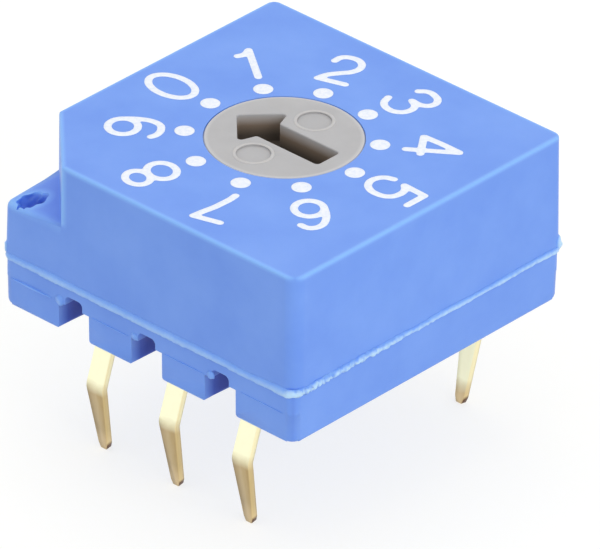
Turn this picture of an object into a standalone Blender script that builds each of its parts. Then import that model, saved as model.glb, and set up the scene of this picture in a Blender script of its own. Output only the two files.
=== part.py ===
"""Ten-position rotary coded switch for a circuit board.

A two-part housing holds a rotor that is turned with a screwdriver. The rotor carries a disc with
windows cut in four code tracks; spring fingers on the terminals wipe on it. Two leaf springs click
into scallops round the rotor's flange, and a ring seals its neck under the top wall.

Frame: X along the rows of terminals, Y across them, Z up, origin on the rotor's axis at the level
of the terminals' tips. The marking corner is at -X, -Y.
"""

import math

import bmesh
import bpy
from mathutils import Matrix, Vector

MM = 0.001

# Housing
BODY_LENGTH = 10.0 * MM
BODY_DEPTH = 10.0 * MM
BASE_HEIGHT = 1.44 * MM
COVER_HEIGHT = 3.36 * MM
COVER_DRAFT = 0.05 * MM
COVER_CORNER_RADIUS = 0.20 * MM
TOP_EDGE_RADIUS = 0.12 * MM
CHAMFER_LEG = 1.95 * MM
CHAMFER_DROP = 1.74 * MM
CUT_EDGE_RADIUS = 0.06 * MM
COVER_WALL = 0.80 * MM
CAVITY_CORNER_RADIUS = 2.0 * MM
WELD_GAP = 0.02 * MM

# Base moulding
BASE_CORNER_RADIUS = 0.32 * MM
BASE_EDGE_RADIUS = 0.14 * MM
BASE_DRAFT = 0.02 * MM
PARTING_STEP = 0.01 * MM
TONGUE_HEIGHT = 0.50 * MM
TONGUE_THICKNESS = 0.35 * MM
TONGUE_CLEARANCE = 0.05 * MM
FLOOR_RISE = 0.16 * MM
NOTCH_WIDTH = 1.06 * MM
NOTCH_HEIGHT = 0.83 * MM
NOTCH_DEPTH = 1.75 * MM
NOTCH_CROWN_WIDTH = 0.60 * MM
NOTCH_CROWN_RISE = 0.28 * MM
NOTCH_CROWN_RADIUS = 0.14 * MM
GATE_RECESS_RADIUS = 0.70 * MM
GATE_RECESS_DEPTH = 0.12 * MM
BOSS_RADIUS = 1.15 * MM
BOSS_HEIGHT = 0.25 * MM
PIVOT_RADIUS = 0.70 * MM

# Rotor
POSITIONS = 10
HEAD_INSET = 2.925 * MM
HEAD_EDGE_RADIUS = 0.05 * MM
FLANGE_INSET = 1.30 * MM
FLANGE_LIFT = 0.99 * MM
HUB_RADIUS = 1.20 * MM
SCALLOP_RADIUS = 0.90 * MM
SCALLOP_DEPTH = 0.22 * MM
SLOT_DEPTH = 0.80 * MM
SLOT_FLOOR = 0.30 * MM
ARROW_CORNER_RADIUS = 0.10 * MM
EJECTOR_DEPTH = 0.04 * MM

# Arrow slot and ejector marks in plan, as shares of the head's radius
ARROW_TIP = 0.795
ARROW_BARB_BACK = 0.36
ARROW_HALF_BARB = 0.455
ARROW_NECK = 0.27
ARROW_TAIL = 0.732
ARROW_HALF_SHAFT = 0.20
EJECTOR_RADIUS = 0.22
EJECTOR_OFFSET = 0.55
EJECTOR_SHIFT = -0.005

# Seal, code disc and detent springs
SEAL_SECTION = 0.50 * MM
SEAL_ROOF = 0.77 * MM
DISC_THICKNESS = 0.12 * MM
DISC_INSET = 0.05 * MM
DISC_RIM = 0.14 * MM
TRACK_FIRST_RADIUS = 1.55 * MM
WINDOW_SHARE = 0.7
SPRING_THICKNESS = 0.12 * MM
SPRING_EDGE_GAP = 0.07 * MM
SPRING_END_INSET = 2.20 * MM
SPRING_TAB = 0.42 * MM
SPRING_NOSE_RADIUS = 0.30 * MM
SPRING_NOSE_WIDTH = 1.10 * MM
SPRING_STANDOFF = 0.16 * MM
SPRING_WALL_GAP = 0.14 * MM
SPRING_BEND_RADIUS = 0.16 * MM
PILLAR_WIDTH = 0.36 * MM
PILLAR_LENGTH = 0.44 * MM

# Terminals; the insets are counted in from the front and rear faces. The tips' inset puts the
# rows on their 7.62 mm spacing, and the rear row is sprung out from it by the splay
PIN_PITCH = 2.54 * MM
TIP_INSET = 1.19 * MM
LEG_LENGTH = 3.85 * MM
LEG_WIDTH = 0.58 * MM
STRIP_THICKNESS = 0.20 * MM
LEG_ROOT_INSET = 1.50 * MM
LEG_ROOT_RISE = 0.25 * MM
LEG_KINK_INSET = 0.82 * MM
LEG_KINK_DROP = 1.86 * MM
LEG_END_WIDTH = 0.32 * MM
LEG_POINT_LENGTH = 0.18 * MM
LEG_POINT_WIDTH = 0.20 * MM
REAR_SPLAY = 0.32 * MM
LEG_BEND_RADIUS = 0.30 * MM
STRIP_BEND_RADIUS = 0.15 * MM
FINGER_ROOT_INSET = 2.05 * MM
FINGER_TIP_WIDTH = 0.22 * MM
FINGER_REACH = 0.85 * MM
FINGER_CREST_LENGTH = 0.16 * MM
FINGER_END_DROP = 0.12 * MM
FINGER_BEND_RADIUS = 0.12 * MM
STRIP_EDGE = 0.02 * MM

# Clearances
HEAD_CLEARANCE = 0.05 * MM
FLANGE_CLEARANCE = 0.11 * MM
HUB_CLEARANCE = 0.07 * MM
PIVOT_CLEARANCE = 0.05 * MM
SEAT_GAP = 0.02 * MM
CHANNEL_CLEARANCE = 0.03 * MM
ISLAND_CLEARANCE = 0.03 * MM
NOSE_CLEARANCE = 0.03 * MM

# Facets
ROUND_SEGMENTS = 60
ARC_STEP = math.radians(8)
CORNER_STEPS = 4
SEAL_SEGMENTS = 12
CUT_MARGIN = 0.5 * MM
JOIN_DEPTH = 0.2 * MM

# Levels, counted up from the terminals' tips
Z_BASE = LEG_LENGTH
Z_NOTCH = Z_BASE + NOTCH_HEIGHT
Z_SEAM = Z_BASE + BASE_HEIGHT
Z_FLOOR = Z_SEAM + FLOOR_RISE
Z_TOP = Z_SEAM + COVER_HEIGHT
Z_LEDGE = Z_TOP - CHAMFER_DROP
Z_SEAL_ROOF = Z_TOP - SEAL_ROOF
Z_FLANGE_TOP = Z_SEAL_ROOF - SEAL_SECTION - 2 * SEAT_GAP
Z_CEILING = Z_FLANGE_TOP + FLANGE_CLEARANCE
Z_FLANGE_BOTTOM = Z_FLOOR + FLANGE_LIFT
Z_DISC_BOTTOM = Z_FLANGE_BOTTOM - SEAT_GAP - DISC_THICKNESS
Z_CONTACT = Z_DISC_BOTTOM - SEAT_GAP
Z_BOSS = Z_FLOOR + BOSS_HEIGHT
Z_HUB = Z_BOSS + SEAT_GAP
Z_STRIP = Z_FLOOR - STRIP_THICKNESS / 2
Z_PIVOT_HOLE = Z_TOP - SLOT_DEPTH - SLOT_FLOOR

# Plan sizes that follow from the ones above
FOOT_LENGTH = BODY_LENGTH + 2 * COVER_DRAFT
FOOT_DEPTH = BODY_DEPTH + 2 * COVER_DRAFT
BODY_NARROW_HALF = min(BODY_LENGTH, BODY_DEPTH) / 2
HEAD_RADIUS = BODY_NARROW_HALF - HEAD_INSET
HEAD_HOLE_RADIUS = HEAD_RADIUS + HEAD_CLEARANCE
SEAL_RADIUS = HEAD_RADIUS + SEAT_GAP + SEAL_SECTION / 2
SEAL_SEAT_RADIUS = SEAL_RADIUS + SEAL_SECTION / 2 + HEAD_CLEARANCE
FLANGE_RADIUS = BODY_NARROW_HALF - FLANGE_INSET
SCALLOP_FLOOR = FLANGE_RADIUS - SCALLOP_DEPTH
SPRING_OUTER = BODY_LENGTH / 2 - COVER_WALL - SPRING_WALL_GAP
SPRING_SPAN = 2 * (BODY_NARROW_HALF - SPRING_END_INSET)
SPRING_LOW = Z_FLANGE_BOTTOM + SPRING_EDGE_GAP
SPRING_HEIGHT = Z_FLANGE_TOP - SPRING_EDGE_GAP - SPRING_LOW
STEP_ANGLE = math.tau / POSITIONS
CODE_TRACKS = {8: 1, 4: 2, 2: 3, 1: 4}
DISC_RADIUS = SCALLOP_FLOOR - DISC_INSET
TRACK_PITCH = (DISC_RADIUS - DISC_RIM - TRACK_FIRST_RADIUS) / (len(CODE_TRACKS) + WINDOW_SHARE / 2)
WINDOW_WIDTH = WINDOW_SHARE * TRACK_PITCH
TIP_OUT = BODY_DEPTH / 2 - TIP_INSET
LEG_ROOT_OUT = BODY_DEPTH / 2 - LEG_ROOT_INSET
LEG_KINK_OUT = BODY_DEPTH / 2 - LEG_KINK_INSET
FINGER_ROOT = BODY_DEPTH / 2 - FINGER_ROOT_INSET

# Each terminal: name, row side (-1 front, +1 rear), place along the row, code weight (0 is common)
TERMINALS = (
    ("terminal_1", -1, -1, 1),
    ("terminal_common_front", -1, 0, 0),
    ("terminal_4", -1, 1, 4),
    ("terminal_8", 1, -1, 8),
    ("terminal_common_rear", 1, 0, 0),
    ("terminal_2", 1, 1, 2),
)


def clear_scene():
    for old in list(bpy.data.objects):
        bpy.data.objects.remove(old, do_unlink=True)


def make_material(name, colour, roughness, metallic=0.0):
    material = bpy.data.materials.new(name)
    material.use_nodes = True
    shader = material.node_tree.nodes["Principled BSDF"]
    shader.inputs["Base Color"].default_value = (*colour, 1.0)
    shader.inputs["Roughness"].default_value = roughness
    shader.inputs["Metallic"].default_value = metallic
    material.diffuse_color = (*colour, 1.0)
    return material


def add_object(name, bm, material=None, datum=(0.0, 0.0, 0.0), parent=None):
    """Makes an object from a bmesh drawn in the assembly's frame, with its origin at the datum."""
    datum = Vector(datum)
    bmesh.ops.translate(bm, verts=bm.verts, vec=-datum)
    bmesh.ops.recalc_face_normals(bm, faces=bm.faces)
    mesh = bpy.data.meshes.new(name)
    bm.to_mesh(mesh)
    bm.free()
    obj = bpy.data.objects.new(name, mesh)
    bpy.context.scene.collection.objects.link(obj)
    obj.location = datum
    if parent is not None:
        obj.parent = parent
        obj.location = datum - parent.location
    if material is not None:
        mesh.materials.append(material)
        mesh.shade_smooth()
        mesh.set_sharp_from_angle(angle=math.radians(32))
    return obj


def add_guide(name, bm):
    """A cutter or a joined-on shape: it shapes another object and isn't a piece of the switch."""
    guide = add_object(name, bm)
    guide.hide_render = True
    guide.display_type = "WIRE"
    return guide


def combine(obj, guide, operation):
    modifier = obj.modifiers.new(guide.name, "BOOLEAN")
    modifier.operation = operation
    modifier.solver = "EXACT"
    modifier.object = guide


def rounded_corner(before, corner, after, radius, steps):
    """Points of the arc that rounds one corner of a path, in the plane of its two arms."""
    arm_in = (before - corner).normalized()
    arm_out = (after - corner).normalized()
    half = arm_in.angle(arm_out) / 2
    reach = radius / math.tan(half)
    centre = corner + (arm_in + arm_out).normalized() * radius / math.sin(half)
    start = corner + arm_in * reach - centre
    end = corner + arm_out * reach - centre
    sweep = start.angle(end)
    points = []
    for i in range(steps + 1):
        t = i / steps
        spoke = start * math.sin((1 - t) * sweep) + end * math.sin(t * sweep)
        points.append(centre + spoke / math.sin(sweep))
    return points


def rounded_outline(points, radius, steps=CORNER_STEPS):
    """A closed outline with each of its corners rounded."""
    points = [Vector((x, y, 0)) for x, y in points]
    outline = []
    for i, point in enumerate(points):
        outline += rounded_corner(points[i - 1], point, points[(i + 1) % len(points)], radius, steps)
    return outline


def extruded(points, shift):
    """A solid swept straight along the shift from a flat face on the points."""
    bm = bmesh.new()
    face = bm.faces.new([bm.verts.new(point) for point in points])
    raised = bmesh.ops.extrude_face_region(bm, geom=[face])
    far = [v for v in raised["geom"] if isinstance(v, bmesh.types.BMVert)]
    bmesh.ops.translate(bm, verts=far, vec=shift)
    return bm


def lofted(levels):
    """An upright solid through outlines with equally many points, given as (z, outline) from below."""
    bm = bmesh.new()
    rings = [[bm.verts.new((p[0], p[1], z)) for p in outline] for z, outline in levels]
    for low, high in zip(rings, rings[1:]):
        for i in range(len(low)):
            j = (i + 1) % len(low)
            bm.faces.new((low[i], low[j], high[j], high[i]))
    bm.faces.new(list(reversed(rings[0])))
    bm.faces.new(rings[-1])
    return bm


def prism(outline, z_low, z_high):
    """An upright solid on an outline whose points start with x and y."""
    return extruded([(p[0], p[1], z_low) for p in outline], (0, 0, z_high - z_low))


def box(x_low, x_high, y_low, y_high, z_low, z_high):
    return prism([(x_low, y_low), (x_high, y_low), (x_high, y_high), (x_low, y_high)], z_low, z_high)


def rectangle(length, depth, radius):
    half_x = length / 2
    half_y = depth / 2
    corners = [(-half_x, -half_y), (half_x, -half_y), (half_x, half_y), (-half_x, half_y)]
    return rounded_outline(corners, radius, steps=2 * CORNER_STEPS)


def turned(profile, segments=ROUND_SEGMENTS):
    """Revolves a profile of (radius, z) points about the rotor's axis."""
    bm = bmesh.new()
    verts = [bm.verts.new((radius, 0, z)) for radius, z in profile]
    edges = [bm.edges.new(pair) for pair in zip(verts, verts[1:])]
    if profile[0][0] > 0:
        edges.append(bm.edges.new((verts[-1], verts[0])))
    bmesh.ops.spin(
        bm, geom=verts + edges, cent=(0, 0, 0), axis=(0, 0, 1), angle=math.tau, steps=segments, use_merge=True
    )
    bmesh.ops.remove_doubles(bm, verts=bm.verts, dist=1e-7)
    return bm


def disc(radius, z_low, z_high, centre=(0.0, 0.0), segments=ROUND_SEGMENTS):
    bm = turned([(0, z_low), (radius, z_low), (radius, z_high), (0, z_high)], segments)
    bmesh.ops.translate(bm, verts=bm.verts, vec=(centre[0], centre[1], 0))
    return bm


def round_rim(bm, edges, radius):
    bmesh.ops.bevel(
        bm, geom=edges, offset=radius, segments=3, profile=0.5, affect="EDGES", clamp_overlap=True
    )


def merged(parts):
    """Several separate bmeshes as one, for shapes that cut or join as a set."""
    whole = bmesh.new()
    for bm in parts:
        holder = bpy.data.meshes.new("holder")
        bm.to_mesh(holder)
        bm.free()
        whole.from_mesh(holder)
        bpy.data.meshes.remove(holder)
    return whole


def sector(inner, outer, start, end, z_low, z_high):
    """A stretch of a ring between two radii and two angles."""
    steps = max(1, math.ceil((end - start) / ARC_STEP))
    angles = [start + (end - start) * i / steps for i in range(steps + 1)]
    outline = [(outer * math.cos(a), outer * math.sin(a)) for a in angles]
    outline += [(inner * math.cos(a), inner * math.sin(a)) for a in reversed(angles)]
    return prism(outline, z_low, z_high)


def track_radius(weight):
    return TRACK_FIRST_RADIUS + CODE_TRACKS.get(weight, 0) * TRACK_PITCH


def contact_point(side, place, weight):
    """Where a terminal's finger touches the disc, in plan."""
    radius = track_radius(weight)
    if place == 0:
        return Vector((0, side * radius))
    return Vector((place * math.sqrt(radius ** 2 - FINGER_REACH ** 2), side * FINGER_REACH))


def open_runs(weight):
    """Runs of neighbouring positions, as (first, count), at which a code weight is not in the digit."""
    is_open = [not digit & weight for digit in range(POSITIONS)]
    runs = []
    for first in range(POSITIONS):
        if is_open[first] and not is_open[first - 1]:
            count = 1
            while is_open[(first + count) % POSITIONS]:
                count += 1
            runs.append((first, count))
    return runs


def code_windows(shrink, z_low, z_high):
    """The windows of all tracks, each made smaller all round by the shrink."""
    windows = []
    for _, side, place, weight in TERMINALS:
        if weight == 0:
            continue
        radius = track_radius(weight)
        point = contact_point(side, place, weight)
        finger_angle = math.atan2(point.y, point.x)
        trim = shrink / radius
        for first, count in open_runs(weight):
            start = finger_angle + (first - 0.5) * STEP_ANGLE + trim
            end = finger_angle + (first + count - 0.5) * STEP_ANGLE - trim
            inner = radius - WINDOW_WIDTH / 2 + shrink
            outer = radius + WINDOW_WIDTH / 2 - shrink
            windows.append(sector(inner, outer, start, end, z_low, z_high))
    return merged(windows)


def build_cover(material):
    """Upper shell with drafted sides: full square up to the ledge, one corner cut away above it."""
    half_x = BODY_LENGTH / 2
    half_y = BODY_DEPTH / 2
    foot = rectangle(FOOT_LENGTH, FOOT_DEPTH, COVER_CORNER_RADIUS + COVER_DRAFT)
    top = rectangle(BODY_LENGTH, BODY_DEPTH, COVER_CORNER_RADIUS)
    bm = lofted([(Z_SEAM + WELD_GAP, foot), (Z_TOP, top)])
    rim_top = [e for e in bm.edges if all(v.co.z > Z_TOP - COVER_HEIGHT / 2 for v in e.verts)]
    round_rim(bm, rim_top, TOP_EDGE_RADIUS)
    cover = add_object("cover", bm, material, (0, 0, Z_SEAM))

    wedge = [
        (-half_x - CUT_MARGIN, -half_y - CUT_MARGIN),
        (-half_x + CHAMFER_LEG + CUT_MARGIN, -half_y - CUT_MARGIN),
        (-half_x - CUT_MARGIN, -half_y + CHAMFER_LEG + CUT_MARGIN),
    ]
    combine(cover, add_guide("chamfer_cut", prism(wedge, Z_LEDGE, Z_TOP + CUT_MARGIN)), "DIFFERENCE")
    edge = cover.modifiers.new("cut_edges", "BEVEL")
    edge.width = CUT_EDGE_RADIUS
    edge.segments = 2
    edge.limit_method = "ANGLE"
    edge.angle_limit = math.radians(40)

    cavity = rectangle(BODY_LENGTH - 2 * COVER_WALL, BODY_DEPTH - 2 * COVER_WALL, CAVITY_CORNER_RADIUS)
    combine(cover, add_guide("cavity_cut", prism(cavity, Z_SEAM - CUT_MARGIN, Z_CEILING)), "DIFFERENCE")

    bore = [
        (0, Z_CEILING - CUT_MARGIN),
        (SEAL_SEAT_RADIUS, Z_CEILING - CUT_MARGIN),
        (SEAL_SEAT_RADIUS, Z_SEAL_ROOF),
        (HEAD_HOLE_RADIUS, Z_SEAL_ROOF),
        (HEAD_HOLE_RADIUS, Z_TOP + CUT_MARGIN),
        (0, Z_TOP + CUT_MARGIN),
    ]
    combine(cover, add_guide("rotor_hole_cut", turned(bore)), "DIFFERENCE")
    return cover


def spring_pillars():
    """Posts that carry the ends of the leaf springs: a wide foot below, a narrow post inside the leaf."""
    post_outer = SPRING_OUTER - SPRING_THICKNESS - NOSE_CLEARANCE
    post_end = SPRING_SPAN / 2 - SPRING_THICKNESS - NOSE_CLEARANCE
    x_inner = post_outer - PILLAR_WIDTH
    y_inner = post_end - PILLAR_LENGTH
    parts = []
    for side in (-1, 1):
        for end in (-1, 1):
            foot_x = sorted((side * x_inner, side * SPRING_OUTER))
            foot_y = sorted((end * y_inner, end * SPRING_SPAN / 2))
            post_x = sorted((side * (x_inner + SEAT_GAP), side * post_outer))
            post_y = sorted((end * (y_inner + SEAT_GAP), end * post_end))
            parts.append(box(*foot_x, *foot_y, Z_SEAM - JOIN_DEPTH, SPRING_LOW - SEAT_GAP))
            parts.append(box(*post_x, *post_y, SPRING_LOW - JOIN_DEPTH, SPRING_LOW + SPRING_HEIGHT))
    return parts


def base_block():
    """The outer block: a slight step at the mould's parting line and drafted sides below it."""
    heights_and_insets = (
        (Z_BASE, PARTING_STEP + BASE_DRAFT),
        (Z_NOTCH, PARTING_STEP),
        (Z_NOTCH + PARTING_STEP, 0.0),
        (Z_SEAM, 0.0),
    )
    levels = []
    for z, inset in heights_and_insets:
        outline = rectangle(FOOT_LENGTH - 2 * inset, FOOT_DEPTH - 2 * inset, BASE_CORNER_RADIUS - inset)
        levels.append((z, outline))
    bm = lofted(levels)
    lower_rim = [e for e in bm.edges if all(v.co.z < Z_BASE + NOTCH_HEIGHT / 2 for v in e.verts)]
    round_rim(bm, lower_rim, BASE_EDGE_RADIUS)
    return bm


def terminal_notches():
    """Openings in the foot of the front and rear walls, one at each terminal."""
    parts = []
    for _, side, place, _ in TERMINALS:
        x = place * PIN_PITCH
        y = sorted((side * (BODY_DEPTH / 2 - NOTCH_DEPTH), side * (BODY_DEPTH / 2 + CUT_MARGIN)))
        parts.append(box(x - NOTCH_WIDTH / 2, x + NOTCH_WIDTH / 2, *y, Z_BASE - CUT_MARGIN, Z_NOTCH))
    return parts


def notch_crowns():
    """Narrower and shallower openings above the notches, with their upper corners rounded."""
    half_width = NOTCH_CROWN_WIDTH / 2
    top = Z_NOTCH + NOTCH_CROWN_RISE
    parts = []
    for _, side, place, _ in TERMINALS:
        x = place * PIN_PITCH
        y = side * (BODY_DEPTH - NOTCH_DEPTH) / 2
        foot_left = Vector((x - half_width, y, Z_NOTCH - JOIN_DEPTH))
        foot_right = Vector((x + half_width, y, Z_NOTCH - JOIN_DEPTH))
        top_right = Vector((x + half_width, y, top))
        top_left = Vector((x - half_width, y, top))
        outline = [foot_left, foot_right]
        outline += rounded_corner(foot_right, top_right, top_left, NOTCH_CROWN_RADIUS, CORNER_STEPS)
        outline += rounded_corner(top_right, top_left, foot_left, NOTCH_CROWN_RADIUS, CORNER_STEPS)
        parts.append(extruded(outline, (0, side * (NOTCH_DEPTH / 2 + CUT_MARGIN), 0)))
    return parts


def terminal_channels():
    """Slots for the strips: up through the floor, round the bend and in along the floor's face."""
    half_width = LEG_WIDTH / 2 + CHANNEL_CLEARANCE
    grip = STRIP_THICKNESS / 2 + CHANNEL_CLEARANCE
    groove_floor = Z_STRIP - grip
    profile = (
        (FINGER_ROOT - LEG_BEND_RADIUS, Z_FLOOR + FLOOR_RISE),
        (FINGER_ROOT - LEG_BEND_RADIUS, groove_floor),
        (LEG_ROOT_OUT - grip - STRIP_BEND_RADIUS, groove_floor),
        (LEG_ROOT_OUT - grip, groove_floor - STRIP_BEND_RADIUS),
        (LEG_ROOT_OUT - grip, Z_NOTCH - JOIN_DEPTH),
        (LEG_ROOT_OUT + grip, Z_NOTCH - JOIN_DEPTH),
        (LEG_ROOT_OUT + grip, Z_FLOOR + FLOOR_RISE),
    )
    parts = []
    for _, side, place, _ in TERMINALS:
        x_low = place * PIN_PITCH - half_width
        parts.append(extruded([(x_low, side * out, z) for out, z in profile], (2 * half_width, 0, 0)))
    return parts


def build_base(material):
    """Lower housing: the block, the tongue inside the cover, the pivot post and the spring pillars."""
    base = add_object("base", base_block(), material, (0, 0, Z_BASE))

    inset = COVER_WALL + TONGUE_CLEARANCE
    outer = rectangle(
        BODY_LENGTH - 2 * inset, BODY_DEPTH - 2 * inset, CAVITY_CORNER_RADIUS - TONGUE_CLEARANCE
    )
    combine(base, add_guide("tongue", prism(outer, Z_SEAM - JOIN_DEPTH, Z_SEAM + TONGUE_HEIGHT)), "UNION")

    inset += TONGUE_THICKNESS
    inner = rectangle(
        BODY_LENGTH - 2 * inset,
        BODY_DEPTH - 2 * inset,
        CAVITY_CORNER_RADIUS - TONGUE_CLEARANCE - TONGUE_THICKNESS,
    )
    well = prism(inner, Z_FLOOR, Z_SEAM + TONGUE_HEIGHT + CUT_MARGIN)
    combine(base, add_guide("well_cut", well), "DIFFERENCE")

    post_top = Z_PIVOT_HOLE - PIVOT_CLEARANCE
    pivot = [
        (0, Z_FLOOR - JOIN_DEPTH),
        (BOSS_RADIUS, Z_FLOOR - JOIN_DEPTH),
        (BOSS_RADIUS, Z_BOSS),
        (PIVOT_RADIUS, Z_BOSS),
        (PIVOT_RADIUS, post_top - HEAD_EDGE_RADIUS),
        (PIVOT_RADIUS - HEAD_EDGE_RADIUS, post_top),
        (0, post_top),
    ]
    combine(base, add_guide("pivot", turned(pivot, 36)), "UNION")
    for i, bm in enumerate(spring_pillars()):
        combine(base, add_guide(f"pillar_{i}", bm), "UNION")

    combine(base, add_guide("notch_cut", merged(terminal_notches())), "DIFFERENCE")
    combine(base, add_guide("crown_cut", merged(notch_crowns())), "DIFFERENCE")
    combine(base, add_guide("channel_cut", merged(terminal_channels())), "DIFFERENCE")
    recess = disc(GATE_RECESS_RADIUS, Z_BASE - CUT_MARGIN, Z_BASE + GATE_RECESS_DEPTH, segments=32)
    combine(base, add_guide("gate_recess_cut", recess), "DIFFERENCE")
    return base


def arrow_outline():
    shares = [
        (-ARROW_TIP, 0),
        (-ARROW_BARB_BACK, -ARROW_HALF_BARB),
        (-ARROW_NECK, -ARROW_HALF_SHAFT),
        (ARROW_TAIL, -ARROW_HALF_SHAFT),
        (ARROW_TAIL, ARROW_HALF_SHAFT),
        (-ARROW_NECK, ARROW_HALF_SHAFT),
        (-ARROW_BARB_BACK, ARROW_HALF_BARB),
    ]
    points = [(x * HEAD_RADIUS, y * HEAD_RADIUS) for x, y in shares]
    return rounded_outline(points, ARROW_CORNER_RADIUS)


def build_rotor(material, axis):
    """Turned form with the arrow slot, ten scallops, and pads that stand in the disc's windows."""
    bore = PIVOT_RADIUS + PIVOT_CLEARANCE
    profile = [
        (0, Z_PIVOT_HOLE),
        (bore, Z_PIVOT_HOLE),
        (bore, Z_HUB),
        (HUB_RADIUS, Z_HUB),
        (HUB_RADIUS, Z_FLANGE_BOTTOM),
        (FLANGE_RADIUS, Z_FLANGE_BOTTOM),
        (FLANGE_RADIUS, Z_FLANGE_TOP),
        (HEAD_RADIUS, Z_FLANGE_TOP),
        (HEAD_RADIUS, Z_TOP - HEAD_EDGE_RADIUS),
        (HEAD_RADIUS - HEAD_EDGE_RADIUS, Z_TOP),
        (0, Z_TOP),
    ]
    # Turned by half a facet, so that no facet's edge falls on the bottom of a scallop
    blank = turned(profile)
    blank.transform(Matrix.Rotation(math.pi / ROUND_SEGMENTS, 4, "Z"))
    rotor = add_object("rotor", blank, material, (0, 0, Z_FLANGE_TOP), axis)

    reach = SCALLOP_FLOOR + SCALLOP_RADIUS
    cuts = []
    for i in range(POSITIONS):
        centre = (reach * math.cos(i * STEP_ANGLE), reach * math.sin(i * STEP_ANGLE))
        cuts.append(
            disc(SCALLOP_RADIUS, Z_FLANGE_BOTTOM - CUT_MARGIN, Z_FLANGE_TOP + CUT_MARGIN, centre, segments=40)
        )
    combine(rotor, add_guide("scallop_cut", merged(cuts)), "DIFFERENCE")

    slot = prism(arrow_outline(), Z_TOP - SLOT_DEPTH, Z_TOP + CUT_MARGIN)
    combine(rotor, add_guide("arrow_slot_cut", slot), "DIFFERENCE")

    marks = []
    mark_radius = EJECTOR_RADIUS * HEAD_RADIUS
    for side in (-1, 1):
        centre = (EJECTOR_SHIFT * HEAD_RADIUS, side * EJECTOR_OFFSET * HEAD_RADIUS)
        marks.append(disc(mark_radius, Z_TOP - EJECTOR_DEPTH, Z_TOP + CUT_MARGIN, centre, segments=32))
    combine(rotor, add_guide("ejector_mark_cut", merged(marks)), "DIFFERENCE")

    pads = code_windows(ISLAND_CLEARANCE, Z_DISC_BOTTOM, Z_FLANGE_BOTTOM + JOIN_DEPTH)
    combine(rotor, add_guide("window_pads", pads), "UNION")
    return rotor


def build_code_disc(material, axis):
    bore = HUB_RADIUS + HUB_CLEARANCE
    top = Z_DISC_BOTTOM + DISC_THICKNESS
    ring = turned([(bore, Z_DISC_BOTTOM), (DISC_RADIUS, Z_DISC_BOTTOM), (DISC_RADIUS, top), (bore, top)])
    code_disc = add_object("code_disc", ring, material, (0, 0, Z_FLANGE_TOP), axis)
    windows = code_windows(0.0, Z_DISC_BOTTOM - CUT_MARGIN, top + CUT_MARGIN)
    combine(code_disc, add_guide("window_cut", windows), "DIFFERENCE")
    return code_disc


def build_seal(material, axis):
    radius = SEAL_SECTION / 2
    z_centre = Z_FLANGE_TOP + SEAT_GAP + radius
    angles = [math.tau * i / SEAL_SEGMENTS for i in range(SEAL_SEGMENTS)]
    profile = [(SEAL_RADIUS + radius * math.cos(a), z_centre + radius * math.sin(a)) for a in angles]
    return add_object("rotor_seal", turned(profile, 48), material, (0, 0, Z_FLANGE_TOP), axis)


def strip(path, width_vectors):
    """A flat strip along a path, as a sheet without thickness: one cross line at each point."""
    bm = bmesh.new()
    rows = []
    for point, across in zip(path, width_vectors):
        rows.append((bm.verts.new(point - across / 2), bm.verts.new(point + across / 2)))
    for (a, b), (c, d) in zip(rows, rows[1:]):
        bm.faces.new((a, b, d, c))
    return bm


def add_sheet(name, bm, material, datum, thickness):
    """A strip given its thickness, with its stamped edges just broken."""
    obj = add_object(name, bm, material, datum)
    solidify = obj.modifiers.new("thickness", "SOLIDIFY")
    solidify.thickness = thickness
    solidify.offset = 0.0
    solidify.use_even_offset = True
    edge = obj.modifiers.new("edge", "BEVEL")
    edge.width = STRIP_EDGE
    edge.segments = 1
    edge.limit_method = "ANGLE"
    edge.angle_limit = math.radians(60)
    return obj


def build_detent_spring(name, material, side):
    """A leaf that bears on its two pillars and clicks into the rotor's scallops with a rounded nose."""
    x_end = SPRING_OUTER - SPRING_THICKNESS / 2
    x_middle = x_end - SPRING_STANDOFF
    x_nose = SCALLOP_FLOOR + NOSE_CLEARANCE + SPRING_THICKNESS / 2
    y_end = (SPRING_SPAN - SPRING_THICKNESS) / 2
    y_straight = y_end - PILLAR_LENGTH - SPRING_THICKNESS
    y_nose = SPRING_NOSE_WIDTH / 2
    half = [(x_end - SPRING_TAB, y_end), (x_end, y_end), (x_end, y_straight), (x_middle, y_nose)]
    points = [(x, -y) for x, y in half] + [(x_nose, 0)] + [(x, y) for x, y in reversed(half)]
    corners = [Vector((side * x, y, SPRING_LOW + SPRING_HEIGHT / 2)) for x, y in points]
    path = [corners[0]]
    for i in range(1, len(corners) - 1):
        radius = SPRING_NOSE_RADIUS if i == len(half) else SPRING_BEND_RADIUS
        path += rounded_corner(corners[i - 1], corners[i], corners[i + 1], radius, CORNER_STEPS)
    path.append(corners[-1])
    across = [Vector((0, 0, SPRING_HEIGHT))] * len(path)
    datum = (side * x_middle, 0, SPRING_LOW)
    return add_sheet(name, strip(path, across), material, datum, SPRING_THICKNESS)


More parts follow.
